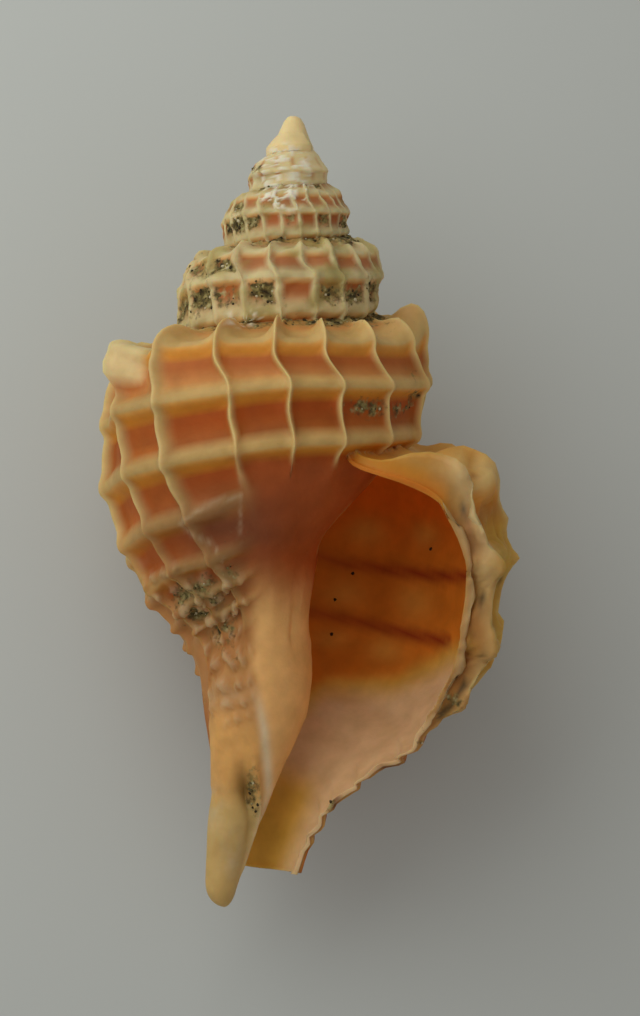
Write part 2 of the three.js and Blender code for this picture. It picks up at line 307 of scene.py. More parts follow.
# how far the inner face lies under the smooth wall: thin at the lower lip, grooved behind each cord
def innerDepth(p, s):
    thin = outline["lipThin"] * hump(p, 1.8) * (1 - ease(3.4, 4.2, s)) + 0.56 * bell(p, 1.1) * ease(3.8, 4.7, s)
    thick = outline["wall"] * (1 - thin)
    groove = 0.16 * hump(s - np.round(s), 0.35) * ease(0.6, 1.2, s) * (1 - ease(6, 8, s)) * (1 - 0.6 * ease(2, 5, p))
    return (thick - groove) * (0.4 + 0.6 * ease(0, 1, s))


# a mesh from points and triangles, with the winding place kept on each point
def makeMesh(name, points, triangles, fields):
    mesh = bpy.data.meshes.new(name)
    mesh.vertices.add(len(points))
    mesh.vertices.foreach_set("co", points.astype(np.float32).ravel())
    mesh.loops.add(3 * len(triangles))
    mesh.loops.foreach_set("vertex_index", triangles.astype(np.int32).ravel())
    mesh.polygons.add(len(triangles))
    mesh.polygons.foreach_set("loop_start", np.arange(0, 3 * len(triangles), 3, dtype=np.int32))
    mesh.update(calc_edges=True)
    for key, values in fields.items():
        mesh.attributes.new(key, "FLOAT", "POINT").data.foreach_set("value", values.astype(np.float32))
    item = bpy.data.objects.new(name, mesh)
    scene.collection.objects.link(item)
    return item


# a band of wall closed on three points of the axis, so that neighbours overlap cleanly
def sector(name, columns, rows, at, topDepth, lowDepth, side):
    p, s = np.meshgrid(np.asarray(columns, float), np.asarray(rows, float), indexing="ij")
    points = layDown(*at(p, s)).reshape(-1, 3)
    axis = layDown(np.zeros(3), np.array([topDepth, 0.5 * (topDepth + lowDepth), lowDepth]), np.zeros(3))
    n, m = p.shape
    grid = 3 + np.arange(n * m).reshape(n, m)
    here, there = grid[:-1], grid[1:]
    pieces = [
        np.stack([here[:, :-1], here[:, 1:], there[:, :-1]], -1).reshape(-1, 3),
        np.stack([here[:, 1:], there[:, 1:], there[:, :-1]], -1).reshape(-1, 3),
        np.stack([np.zeros(n - 1, int), here[:, 0], there[:, 0]], -1),
        np.stack([np.full(n - 1, 2), there[:, -1], here[:, -1]], -1),
    ]
    front = np.concatenate([[0], grid[0], [2]])
    back = np.concatenate([[0], grid[-1], [2]])
    pieces.append(np.stack([np.ones(m + 1, int), front[1:], front[:-1]], -1))
    pieces.append(np.stack([np.ones(m + 1, int), back[:-1], back[1:]], -1))
    lead = np.zeros(3)
    fields = {
        "ribAt": np.concatenate([lead, p.ravel()]),
        "cordAt": np.concatenate([lead, s.ravel()]),
        "side": np.concatenate([lead, np.full(n * m, float(side))]),
        "known": np.concatenate([lead, np.ones(n * m)]),
    }
    return makeMesh(name, np.concatenate([axis, points]), np.concatenate(pieces), fields)


# a closed round solid along the axis: rings at the depths, a point at each end
def spindle(name, depths, ringAngles, radius, side):
    t, a = np.meshgrid(depths, ringAngles, indexing="ij")
    points = layDown(radius(t, a), t, a).reshape(-1, 3)
    n, m = t.shape
    ends = layDown(np.zeros(2), np.array([depths[0], depths[-1]]), np.zeros(2))
    grid = 2 + np.arange(n * m).reshape(n, m)
    around = np.roll(grid, -1, axis=1)
    pieces = [
        np.stack([grid[:-1], around[:-1], grid[1:]], -1).reshape(-1, 3),
        np.stack([around[:-1], around[1:], grid[1:]], -1).reshape(-1, 3),
        np.stack([np.zeros(m, int), around[0], grid[0]], -1),
        np.stack([np.ones(m, int), grid[-1], around[-1]], -1),
    ]
    lead = np.zeros(2)
    fields = {
        "ribAt": np.concatenate([lead, a.ravel()]),
        "cordAt": np.concatenate([lead, t.ravel()]),
        "side": np.concatenate([lead, np.full(n * m, float(side))]),
        "known": np.concatenate([lead, np.ones(n * m)]),
    }
    return makeMesh(name, np.concatenate([ends, points]), np.concatenate(pieces), fields)


# where the grid lines stand: close at the crests, open in the cells, fewer toward the apex
mesh = {
    "lipFine": [0, 0.02, 0.045, 0.075, 0.105, 0.135, 0.165, 0.2, 0.24, 0.285, 0.33, 0.38, 0.44, 0.5],
    "ribFine": [0, 0.013, 0.027, 0.042, 0.06, 0.085, 0.115, 0.155, 0.21, 0.29, 0.39, 0.5],
    "ribMiddle": [0, 0.018, 0.037, 0.06, 0.09, 0.14, 0.22, 0.35, 0.5],
    "ribCoarse": [0, 0.03, 0.065, 0.13, 0.27, 0.5],
    "cordOffsets": [-0.4, -0.28, -0.18, -0.1, -0.03, 0.03, 0.08, 0.13, 0.18, 0.24, 0.33, 0.45],
    "ramp": [0, 0.12, 0.24, 0.34, 0.43, 0.51, 0.58],
    "bands": [(0, 12), (11, 26), (25, 42), (41, 61), (60, 84), (81, 106)],
}


def columnsOf(band):
    columns = []
    for rib in range(band[0], band[1]):
        half = mesh["lipFine"] if rib == 0 else mesh["ribFine"] if rib < 14 else mesh["ribMiddle"] if rib < 30 else mesh["ribCoarse"]
        if rib >= 66:
            half = [0, 0.5] if rib % 2 else [0]
        columns += [rib + h for h in half] + [rib + 1 - h for h in half[::-1] if 0 < h < 0.5]
    if band[0]:
        start = band[0] + 0.06
        columns = [c for c in columns if c > start]
    columns.append(band[1])
    return columns


spireRows = list(mesh["ramp"])
for cord in (1, 2, 3):
    spireRows += [cord + v for v in mesh["cordOffsets"] if cord + v > spireRows[-1] + 0.02]
bodyRows = list(spireRows)
for cord in (4, 5, 6, 7):
    bodyRows += [cord + v for v in mesh["cordOffsets"]]
bodyRows += [7.6, 7.8, 8.0, 8.25, 8.5, 8.75, 9.0]
hiddenRows = bodyRows
spireRows = spireRows + [3.6, 4.0]

bandItems = []
for i, band in enumerate(mesh["bands"]):
    rows = [bodyRows, hiddenRows][i] if i < 2 else spireRows
    columns = columnsOf(band)
    if i == 0:
        rim = outline["rimWidth"]
        columns = list(-rim * np.array([1, 0.985, 0.97, 0.935, 0.9, 0.85, 0.8, 0.73, 0.66, 0.58, 0.5, 0.42, 0.34, 0.26, 0.18, 0.11, 0.05])) + columns
    topDepth = wallPoint(np.array([float(band[1])]), np.array([0.0]))[1][0]
    lowDepth = wallPoint(np.array([float(band[0])]), np.array([float(rows[-1])]))[1][0]
    bandItems.append(sector("band" + str(i), columns, rows, wallPoint, topDepth, lowDepth, 0))
print("whorls:", sum(len(b.data.polygons) for b in bandItems), "faces")

# the pillar: a spindle with a twisted inner-lip edge, a groove beside it and a worn step above the canal
pillar = {
    "depth": [14, 22, 26, 29, 31, 33.5, 37, 39, 40.2],
    "radius": [0.5, 1.1, 1.8, 2.6, 2.35, 1.6, 1.22, 1.08, 1.0],
    "edgeDepth": [28, 31, 33, 36, 38.6],
    "edgeAngle": [100, 92, 75, 25, 15],
    "rings": 150,
    "sides": 110,
}


def pillarRadius(t, a):
    base = np.interp(t, pillar["depth"], pillar["radius"])
    for k in range(3):
        base = (base + np.interp(t - 0.5 - 0.3 * k, pillar["depth"], pillar["radius"]) + np.interp(t + 0.5 + 0.3 * k, pillar["depth"], pillar["radius"])) / 3
    base = base * np.sqrt(np.clip(1 - np.clip((t - 38.7) / 1.4, 0, 1) ** 2.4, 0, 1))
    base = base * (1 - 0.5 * ease(34.6, 39.4, t) * (0.5 + 0.5 * np.cos(a * degree)))    # drawn in on the right
    edge = np.interp(t, pillar["edgeDepth"], pillar["edgeAngle"])
    off = (a - edge + 180) % 360 - 180
    ridge = 0.16 * bell(off, 7) * ease(28.5, 30, t) * (1 - ease(37.5, 39.2, t))
    groove = 0.22 * bell(off - 18, 12) * ease(30.5, 32.5, t) * (1 - ease(35.8, 37.2, t))
    pit = 0.55 * bell(off - 24, 14) * bell(t - 34.2, 0.75)
    step = 0.07 * ease(34.05, 34.45, t) * (1 - ease(34.5, 37, t)) * ease(80, 120, a) * (1 - ease(250, 290, a))
    return np.maximum(base + ridge - groove - pit - step, 0.02)


pillarItem = spindle("pillar", np.concatenate([np.linspace(14, 39.6, pillar["rings"]), [39.8, 39.95, 40.05, 40.1]]), np.arange(pillar["sides"]) * 360 / pillar["sides"], pillarRadius, 2)
tipDepth = [0.0, 0.03, 0.1, 0.2, 0.35, 0.55, 0.75, 0.9, 1.05, 1.2, 1.35, 1.5, 1.65, 1.8, 2.0]
tipItem = spindle("tip", np.array(tipDepth), np.arange(40) * 9.0, lambda t, a: np.interp(t, [0, 0.03, 0.1, 0.35, 0.75, 1.1, 1.4, 1.5, 2.0], [0.02, 0.2, 0.34, 0.52, 0.68, 0.82, 0.98, 1.02, 1.0]), 3)

# the hollow: the inner face of the wall from in front of the lip to its end behind the front wall
hollowColumns = [-0.4, -0.2, -0.14] + list(np.arange(-0.1, 1.0, 0.05)) + list(np.arange(1.0, 4.0, 0.1)) + list(np.arange(4.0, 11.7, 0.25)) + [outline["hollowEnd"]]
hollowRows = [0.04, 0.12, 0.22, 0.33, 0.45, 0.6, 0.75] + list(np.arange(0.85, 7.51, 0.1)) + [7.75, 8, 8.25, 8.5, 8.75, 9]
hollowTop = wallPoint(np.array([outline["hollowEnd"]]), np.array([1.0]), 1.0)[1][0]
hollowItem = sector("hollow", hollowColumns, hollowRows, lambda p, s: wallPoint(p, s, innerDepth(p, s)), hollowTop, 39, 1)


# boolean of one item with others, worked out at once and handed back as a new item
def combined(name, base, others, operation):
    for other in others:
        step = base.modifiers.new(other.name, "BOOLEAN")
        step.solver = "MANIFOLD"
        step.operation = operation
        step.object = other
    bpy.context.view_layer.update()
    seen = base.evaluated_get(bpy.context.evaluated_depsgraph_get())
    result = bpy.data.objects.new(name, bpy.data.meshes.new_from_object(seen))
    scene.collection.objects.link(result)
    return result


inside = combined("inside", bandItems[1], bandItems[2:] + [pillarItem, tipItem], "UNION")
openBody = combined("openBody", bandItems[0], [hollowItem], "DIFFERENCE")
whole = combined("whole", openBody, [inside], "UNION")
print("joined:", len(whole.data.polygons), "faces")

# the joined mesh back as arrays
raw = whole.data
raw.calc_loop_triangles()
points = np.zeros(3 * len(raw.vertices), np.float32)
raw.vertices.foreach_get("co", points)
points = points.reshape(-1, 3).astype(float)
triangles = np.zeros(3 * len(raw.loop_triangles), np.int32)
raw.loop_triangles.foreach_get("vertices", triangles)
triangles = triangles.reshape(-1, 3)
fields = {}
for key in ("ribAt", "cordAt", "side", "known"):
    values = np.zeros(len(points), np.float32)
    if key in raw.attributes:
        raw.attributes[key].data.foreach_get("value", values)
    fields[key] = values.astype(float)
for item in bandItems + [pillarItem, tipItem, hollowItem, inside, openBody, whole]:
    data = item.data
    bpy.data.objects.remove(item)
    bpy.data.meshes.remove(data)

# faces that the joining left back to back are dropped
_, place, times = np.unique(np.sort(triangles, axis=1), axis=0, return_inverse=True, return_counts=True)
triangles = triangles[times[place.ravel()] == 1]

# the outer skin alone: label points joined by edges, keep the largest set
edges = np.concatenate([triangles[:, [0, 1]], triangles[:, [1, 2]], triangles[:, [2, 0]]])
label = np.arange(len(points))
for sweep in range(400):
    before = label.copy()
    low = np.minimum(label[edges[:, 0]], label[edges[:, 1]])
    np.minimum.at(label, edges[:, 0], low)
    np.minimum.at(label, edges[:, 1], low)
    label = label[label]
    if np.array_equal(before, label):
        break
largest = np.bincount(label).argmax()
keep = label == largest
renumber = np.cumsum(keep) - 1
triangles = renumber[triangles[keep[triangles[:, 0]]]]
points = points[keep]
fields = {key: values[keep] for key, values in fields.items()}
edges = np.concatenate([triangles[:, [0, 1]], triangles[:, [1, 2]], triangles[:, [2, 0]]])

# points made by the joining take their winding place from their neighbours
unknown = fields["known"] < 0.5
for sweep in range(6):
    if not unknown.any():
        break
    total = np.zeros(len(points))
    sums = {key: np.zeros(len(points)) for key in ("ribAt", "cordAt")}
    sideMost = np.full(len(points), -1.0)
    for a, b in ((0, 1), (1, 0)):
        good = ~unknown[edges[:, b]] & unknown[edges[:, a]]
        np.add.at(total, edges[good, a], 1)
        np.maximum.at(sideMost, edges[good, a], fields["side"][edges[good, b]])
    for a, b in ((0, 1), (1, 0)):
        good = ~unknown[edges[:, b]] & unknown[edges[:, a]]
        good &= fields["side"][edges[:, b]] == sideMost[edges[:, a]]
        for key in sums:
            np.add.at(sums[key], edges[good, a], fields[key][edges[good, b]])
    count = np.zeros(len(points))
    for a, b in ((0, 1), (1, 0)):
        good = ~unknown[edges[:, b]] & unknown[edges[:, a]]
        good &= fields["side"][edges[:, b]] == sideMost[edges[:, a]]
        np.add.at(count, edges[good, a], 1)
    found = unknown & (count > 0)
    for key in sums:
        fields[key][found] = sums[key][found] / count[found]
    fields["side"][found] = sideMost[found]
    unknown &= ~found
ribAt, cordAt, side = fields["ribAt"], fields["cordAt"], fields["side"]
outer, inner, onPillar, onTip = side == 0, side == 1, side == 2, side == 3
print("skin:", len(points), "points,", len(triangles), "faces")


# mean of each point's neighbours along the edges
def neighbourMean(values):
    total = np.zeros_like(values)
    count = np.zeros(len(values))
    for a, b in ((0, 1), (1, 0)):
        np.add.at(total, edges[:, a], values[edges[:, b]])
        np.add.at(count, edges[:, a], 1)
    return total / count[:, None]


# normals weighed by face area
def pointNormals(points):
    a, b, c = (points[triangles[:, k]] for k in range(3))
    face = np.cross(b - a, c - a)
    normal = np.zeros_like(points)
    for k in range(3):
        np.add.at(normal, triangles[:, k], face)
    return normal / np.maximum(np.linalg.norm(normal, axis=1), 1e-12)[:, None]


# a soft oval on the front view, kept to what faces it
def oval(x, y, wide, tall):
    return bell((planX - x) / wide, 1) * bell((planY - y) / tall, 1) * front


# the glaze of the inner lip softens the corner between the wall before and the pillar
glaze = np.where(outer, ease(10.4, 11.2, ribAt) * ease(3.3, 3.9, cordAt), 0)
glaze = np.maximum(glaze, np.where(onPillar, (1 - ease(31, 33, cordAt)) * ease(-30, 10, (ribAt + 90) % 360 - 90) * (1 - ease(110, 135, ribAt)), 0))
planX, planY = onView(points)
front = ease(-0.05, 0.25, pointNormals(points) @ back)
besidePillar = ease(632, 660, planY) * (1 - ease(700, 740, planY)) * (1 - ease(238, 262, planX)) * front
glaze = np.maximum(glaze, besidePillar * ((outer & (ribAt > 6)) | onPillar))
for sweep in range(70):
    points += (0.6 * glaze)[:, None] * (neighbourMean(points) - points)
normals = pointNormals(points)
lipLumps = np.where(outer, 1 - ease(1.3, 1.9, ribAt), 0) * ease(0.8, 1.2, cordAt) * (1 - ease(4, 4.6, cordAt))
crusted = np.where(outer, ease(15, 20, ribAt) * (1 - ease(66, 80, ribAt)), 0)
high = (0.03 + 0.16 * crusted + 0.34 * lipLumps) * cloud(points, 0.9, 3)
high += (0.11 * crusted + 0.14 * lipLumps) * cloud(points, 0.4, 5)

# left of the inner lip the base is scaly: slanting rows of broken lumps, each rising to a steep lower edge
planX, planY = onView(points)
front = ease(-0.05, 0.25, normals @ back)
scaly = ease(548, 592, planY) * (1 - ease(690, 745, planY)) * (1 - ease(238, 262, planX)) * front
scaly = scaly * ((outer & (ribAt > 8)) | onPillar)
row = (0.42 * planX + 0.9 * planY) / 21 + 0.8 * cloud(points, 2.2, 61)
across = (0.9 * planX - 0.42 * planY) / 15 + 0.9 * cloud(points, 1.7, 67)
saw = row - np.floor(row)
lumps = saw ** 1.4 * (1 - ease(0.82, 1, saw)) * (0.25 + 0.75 * np.cos(np.pi * across) ** 2)
high = high * np.where(onTip, 0.3, 1) + scaly * (0.55 * lumps - 0.12)

# two lobes at the top of the lip with a cleft between them, a node lower down
lobes = oval(457, 467, 8, 15) + oval(485, 476, 9, 20) + oval(481, 567, 12, 16) - 0.7 * oval(470, 478, 4, 22)
high += 0.4 * lobes * np.where(outer, ease(-0.11, -0.05, ribAt) * (1 - ease(1.3, 1.9, ribAt)), 0)
points += high[:, None] * normals
points[:, 2] = np.maximum(points[:, 2], 0)    # worn flat where it rests

# colours of the shell, as light it gives back
colour = {
    "crest": (0.66, 0.43, 0.15),
    "cell": (0.64, 0.28, 0.08),
    "cellLow": (0.46, 0.13, 0.018),
    "shadeUnderCord": (0.46, 0.085, 0.004),
    "flankGlow": (0.84, 0.34, 0.03),
    "ribLine": (0.90, 0.68, 0.30),
    "ramp": (0.46, 0.27, 0.07),
    "spirePink": (0.56, 0.33, 0.145),
    "spireCrest": (0.72, 0.60, 0.31),
    "olive": (0.40, 0.34, 0.09),
    "apex": (0.92, 0.72, 0.36),
    "knob": (0.84, 0.69, 0.35),
    "glaze": (0.49, 0.105, 0.018),
    "glazeGrey": (0.20, 0.065, 0.026),
    "inside": (0.72, 0.215, 0.018),
    "shadeThroughWall": (0.34, 0.04, 0.01),
    "lightThroughWall": (0.80, 0.34, 0.05),
    "lipTopGlow": (0.70, 0.22, 0.02),
    "flap": (0.80, 0.43, 0.10),
    "flapEdgeGlow": (0.74, 0.31, 0.03),
    "insideTop": (0.84, 0.155, 0.008),
    "lowerLip": (0.78, 0.51, 0.26),
    "lipEdge": (0.52, 0.26, 0.05),
    "lipGroove": (0.34, 0.09, 0.02),
    "frill": (0.66, 0.38, 0.055),
    "canal": (0.76, 0.43, 0.07),
    "canalEdgeShade": (0.20, 0.08, 0.03),
    "columella": (0.95, 0.53, 0.19),
    "pillar": (0.82, 0.43, 0.13),
    "pillarEnd": (0.62, 0.43, 0.155),
    "pitStain": (0.30, 0.17, 0.04),
    "scaly": (0.57, 0.26, 0.08),
    "whitish": (0.66, 0.52, 0.32),
    "lipStrip": (0.92, 0.74, 0.48),
    "lipDarkSpot": (0.10, 0.06, 0.02),
    "dust": (0.36, 0.28, 0.12),
    "chalk": (0.90, 0.84, 0.66),
}
tone = {key: np.array(value) for key, value in colour.items()}


def layer(base, over, weight):
    return base + (tone[over] - base) * np.clip(weight, 0, 1)[:, None]


planX, planY = onView(points)
normals = pointNormals(points)
front = ease(-0.05, 0.25, normals @ back)


# nearness to a line drawn on the front view through the given places
def stroke(xs, ys, thick):
    inRange = (planX > min(xs) - 2) & (planX < max(xs) + 2)
    return bell(planY - np.interp(planX, xs, ys), thick) * inRange * front


cellRib = np.clip(np.floor(ribAt).astype(int), 0, ribCount - 1)
cellCord = np.clip(np.floor(cordAt + 0.3).astype(int), 0, 11)
u = ribAt - np.round(ribAt)
v = cordAt - np.round(cordAt) + 0.13 * ease(14, 22, ribAt)
mottle = cloud(points, 1.6, 21)
fine = cloud(points, 0.35, 31)

# outside: salmon cells, painted shade in deep orange under each cord, cream on the crests
onCord = np.where((cordAt > 0.55) & (cordAt < 7.6), cordSection(cordAt, ribAt), 0)
onRib = np.where(cordAt < 8.2, ribSection(u, ribAt), 0)
spire = ease(13, 28, ribAt)
base = ease(3.2, 4.6, cordAt)
tint = mix(tone["cell"], tone["cellLow"], ease(1.9, 2.2, cordAt)[:, None])
tint = layer(tint, "spirePink", spire)
tint = tint * (1 + 0.12 * cellTone[cellRib, cellCord] + 0.16 * mottle)[:, None]
below = v + np.where(v < -0.05, 1, 0)      # how far under the cord above, 0 to 1
shadeUnder = ease(0.1, 0.25, below) * (1 - ease(0.4, 0.85, below)) * ease(0.9, 1.05, cordAt)
onLeft = 1 - 0.45 * (1 - ease(9.3, 10.8, ribAt))
onKnob = ease(0.2, 0.6, bell(ribAt - outline["knobRib"] - 0.15, 0.42)) * (cordAt < 2)
# painted shade: deep orange under each cord, weaker on the left and none on the knob
tint = layer(tint, "shadeUnderCord", shadeUnder * (1 - 0.2 * spire) * onLeft * np.where(cordAt < 1.95, 0.75, 1) * (1 - onKnob))
# painted shade: the lower cords of the body darker in the same deep orange
tint = layer(tint, "shadeUnderCord", 0.5 * base * (1 - ease(5.6, 6.8, cordAt)))
ribPaint = np.clip(onRib * 1.6 - 0.25 - 0.25 * ease(10.4, 11, ribAt) * (1 - spire), 0, 1)
crest = np.maximum(np.clip(onCord * 1.35 - 0.3, 0, 1), ribPaint)
crest = np.maximum(crest, 0.85 * ease(0.38, 0.6, cordAt) * (1 - ease(0.95, 1.05, cordAt)) * (1 - spire) * ease(4, 6, ribAt))
crestTone = mix(tone["crest"], tone["spireCrest"], spire[:, None])
# painted shade: crests darker about the knob rib on the left, against the lamp's stronger light there
crestTone = crestTone * ((1 + 0.10 * mottle + 0.08 * fine) * (1 - 0.22 * bell(ribAt - 9.2, 1.1)))[:, None]
tint += (crestTone - tint) * (crest * (1 - 0.3 * base))[:, None]
# painted light: strong orange on the shaded lower side of each cord, brightening its shade
flankGlow = ease(0.04, 0.1, below) * (1 - ease(0.18, 0.32, below)) * ease(0.9, 1.05, cordAt) * (1 - ease(6, 7, cordAt))
tint = layer(tint, "flankGlow", 0.75 * flankGlow * (1 - 0.5 * spire) * (1 - ribPaint) * (1 - 0.5 * base) * (1 - onKnob))
tint = layer(tint, "ribLine", 0.5 * bell(u, 0.035) * (1 - spire) * (1 - base) * (cordAt < 8))
tint = layer(tint, "olive", 0.6 * spire * (1 - ease(56, 66, ribAt)) * ease(0.0, 0.4, cloud(points, 1.1, 77)))
tint = layer(tint, "ramp", (1 - ease(0.2, 0.45, cordAt)) * 0.7 * (ribAt > 4))
tint = layer(tint, "knob", 0.75 * onKnob * ease(0.7, 0.9, cordAt) * (1 - ease(1.45, 1.56, cordAt)))
# painted shadow in the recess under the knob
tint = layer(tint, "shadeUnderCord", 0.8 * onKnob * bell(cordAt - 1.64, 0.07))
tint = layer(tint, "apex", ease(58, 90, ribAt))
tint = layer(tint, "flap", (1 - ease(0.8, 1.1, cordAt)) * (1 - ease(2, 4, ribAt)))

# lip: olive folds, a dark red groove, a pale thin rim, a painted orange glow along the top and pale pink below
upperLip = ease(1.1, 1.6, cordAt) * (1 - ease(3.6, 4.6, cordAt))
tint = layer(tint, "frill", 0.8 * bell(ribAt - 0.9, 0.65) * upperLip * (1 - 0.4 * crest))
tint = layer(tint, "lipEdge", 1 - ease(-0.03, 0.01, ribAt))
trough = ease(0.02, 0.1, -lamellae(ribAt, cordAt)) * ease(1.1, 1.6, cordAt)
tint = layer(tint, "lipGroove", 0.5 * bell(ribAt + 0.04, 0.045) * upperLip * ease(-0.7, 0.1, mottle))
tint = layer(tint, "lipGroove", 0.5 * trough * outer * ease(-0.3, 0.4, mottle))
tint = layer(tint, "whitish", 0.4 * bell(ribAt + 0.1, 0.02))
lipNodes = np.maximum(oval(482, 568, 12, 17), np.maximum(oval(484, 474, 8, 20), 0.8 * oval(457, 470, 7, 18)))
tint = layer(tint, "ribLine", 0.55 * lipNodes * outer * (ribAt > -0.1))
tint = layer(tint, "lipGroove", 0.55 * np.maximum(oval(470, 474, 3, 20), oval(466, 522, 3, 16)) * outer)
tint = layer(tint, "frill", 0.7 * np.maximum(oval(506, 556, 11, 34), oval(502, 630, 9, 34)) * outer)
# darker spots in the gaps along the lip and along its lower margin
spots = np.maximum(oval(461, 510, 3, 9), np.maximum(oval(479, 599, 4, 10), oval(499, 582, 3, 5)))
spots = np.maximum(spots, np.maximum(oval(480, 656, 3, 5), stroke([438, 450, 463], [713, 703, 681], 5)))
tint = layer(tint, "lipDarkSpot", 0.9 * spots * outer)
flapLine = np.interp(planX, [340, 385, 407, 428, 447], [460, 474, 483, 493, 501])
onFlap = outer & (ribAt < 1.5) & (cordAt < 1.35)
# painted glow: light through the thin lower edge of the flap
tint = layer(tint, "flapEdgeGlow", 0.9 * ease(-26, -9, planY - flapLine) * (1 - ease(440, 450, planX)) * front * onFlap)
ridge = bell(ribAt - 0.03, 0.05) * ease(0.7, 0.9, cordAt) * (1 - ease(1.7, 2, cordAt))
tint = layer(tint, "lipStrip", 0.3 * ridge * outer)
tint = layer(tint, "lipGroove", 0.6 * bell(ribAt - 0.27, 0.08) * ease(0.6, 0.9, cordAt) * (1 - ease(1.3, 1.7, cordAt)) * outer)
# painted glow: light through the thin rim along the top of the lip
tint = layer(tint, "lipTopGlow", (1 - ease(-0.07, -0.01, ribAt)) * (1 - ease(0.85, 1.1, cordAt)))
tint = layer(tint, "lowerLip", (1 - ease(-0.1, 0.0, ribAt)) * ease(4.0, 4.6, cordAt))
# painted shade: dark brown on the outer face just beyond the canal lip's edge
tint = layer(tint, "canalEdgeShade", ease(4.6, 5.2, cordAt) * bell(ribAt - 0.1, 0.4) * ease(0.0, 0.3, mottle))

# inside: painted light through the thin wall, two dark lines where less comes through and lighter squares where more
# does, a pale lower part
lineTop = np.interp(planX, [313, 340, 380, 420, 440, 462], [557, 564, 570, 575, 577, 577])
lineLow = np.interp(planX, [310, 340, 380, 420, 450], [615, 620, 629, 638, 643])
insideTint = np.tile(tone["inside"], (len(points), 1)) * (1 + 0.12 * mottle)[:, None]
insideTint = layer(insideTint, "insideTop", 0.8 * (1 - ease(495, 565, planY - 0.1 * (planX - 380))))
for place in ((367, 532, 20, 14), (427, 536, 13, 12), (346, 596, 22, 15), (416, 604, 16, 17), (331, 642, 19, 10), (385, 653, 17, 12)):
    insideTint = layer(insideTint, "lightThroughWall", 0.9 * oval(*place))
nearLip = ease(300, 440, planX)
insideTint = layer(insideTint, "shadeThroughWall", (0.5 + 0.45 * nearLip) * bell(planY - lineTop, 6.5) * (planX < 468))
insideTint = layer(insideTint, "shadeThroughWall", (0.55 + 0.4 * nearLip) * bell(planY - lineLow, 6.5) * (planX < 452))
paleFrom = np.interp(planX, [300, 326, 397, 447, 470], [702, 686, 681, 654, 640])
intoPale = planY - paleFrom + 6 * mottle
insideTint = layer(insideTint, "canal", ease(-12, 8, intoPale) * ease(2.5, 3.5, cordAt))
insideTint = layer(insideTint, "lowerLip", ease(0, 28, intoPale) * ease(2.5, 3.5, cordAt))
canalSide = 1 - ease(-14, 14, planX - 318 + 0.39 * (planY - 780))
insideTint = layer(insideTint, "canal", ease(758, 800, planY + 0.5 * (300 - planX)) * canalSide)
insideTint = layer(insideTint, "lipEdge", 0.8 * (1 - ease(-0.3, 0.12, ribAt)) * (1 - ease(3.8, 4.4, cordAt)))
tint = np.where(inner[:, None], insideTint, tint)

# pillar and base: scaly on the left, cream on the inner lip, paler below the growth step
frontWall = (outer & (ribAt > np.where(planY > 600, 5, 8.5))) | onPillar
pillarTint = np.tile(tone["pillar"], (len(points), 1)) * (1 + 0.16 * mottle + 0.10 * fine)[:, None]
pillarTint = layer(pillarTint, "pillarEnd", 0.85 * ease(778, 812, planY + 6 * mottle))
pillarTint = layer(pillarTint, "pitStain", 0.7 * oval(243, 784, 16, 22))
tint = np.where(onPillar[:, None], pillarTint, tint)
tint = layer(tint, "scaly", 0.85 * ease(585, 645, planY + 0.3 * (250 - planX)) * (1 - ease(690, 745, planY)) * front * frontWall)
tint = layer(tint, "dust", 0.7 * np.maximum(oval(203, 598, 30, 32), oval(228, 572, 22, 14)) * ease(-0.5, 0.2, cloud(points, 0.9, 79)))
tint = layer(tint, "whitish", 0.4 * scaly * ease(0.22, 0.5, lumps))
worn = np.maximum(oval(228, 692, 26, 12), np.maximum(oval(214, 805, 10, 22), oval(232, 856, 10, 26)))
tint = layer(tint, "whitish", 0.5 * worn * ease(-0.5, 0.3, cloud(points, 0.7, 83)) * onPillar)

# the glaze of the inner lip: purple grey on the left, deep red, then cream down the pillar
lipLine = np.interp(planY, [440, 455, 545, 690, 730, 790, 840, 868], [262, 243, 245, 258, 265, 270, 258, 250])
softness = np.interp(planY, [455, 560, 640], [24, 18, 7])
callus = ease(-1, 1, (planX - lipLine + 4 * mottle) / softness) * ease(452, 470, planY - 0.06 * (planX - 300)) * front
callus = callus * frontWall
callusTint = np.tile(tone["glaze"], (len(points), 1)) * (1 + 0.10 * mottle)[:, None]
callusTint = layer(callusTint, "columella", ease(550, 625, planY - 0.25 * (planX - 280)))
tint += (callusTint - tint) * callus[:, None]
tint = layer(tint, "glazeGrey", 0.85 * oval(232, 526, 58, 36) * frontWall)
tint = layer(tint, "lipStrip", 0.85 * bell(planX - lipLine, 5.0) * ease(676, 730, planY) * front * onPillar)
ribLine = bell(planX - 242, 1.7) * ease(453, 468, planY) * (1 - ease(536, 552, planY))
tint = layer(tint, "whitish", ribLine * (0.15 + 0.5 * fine) * front * frontWall)
for xs, ys in (([186, 205, 225, 243], [521, 508, 500, 497]), ([181, 197, 215, 223], [523, 536, 543, 560])):
    tint = layer(tint, "whitish", 0.35 * stroke(xs, ys, 2.4) * frontWall)
tint = np.where(onTip[:, None], tone["apex"][None] * (1 + 0.06 * mottle)[:, None], tint)

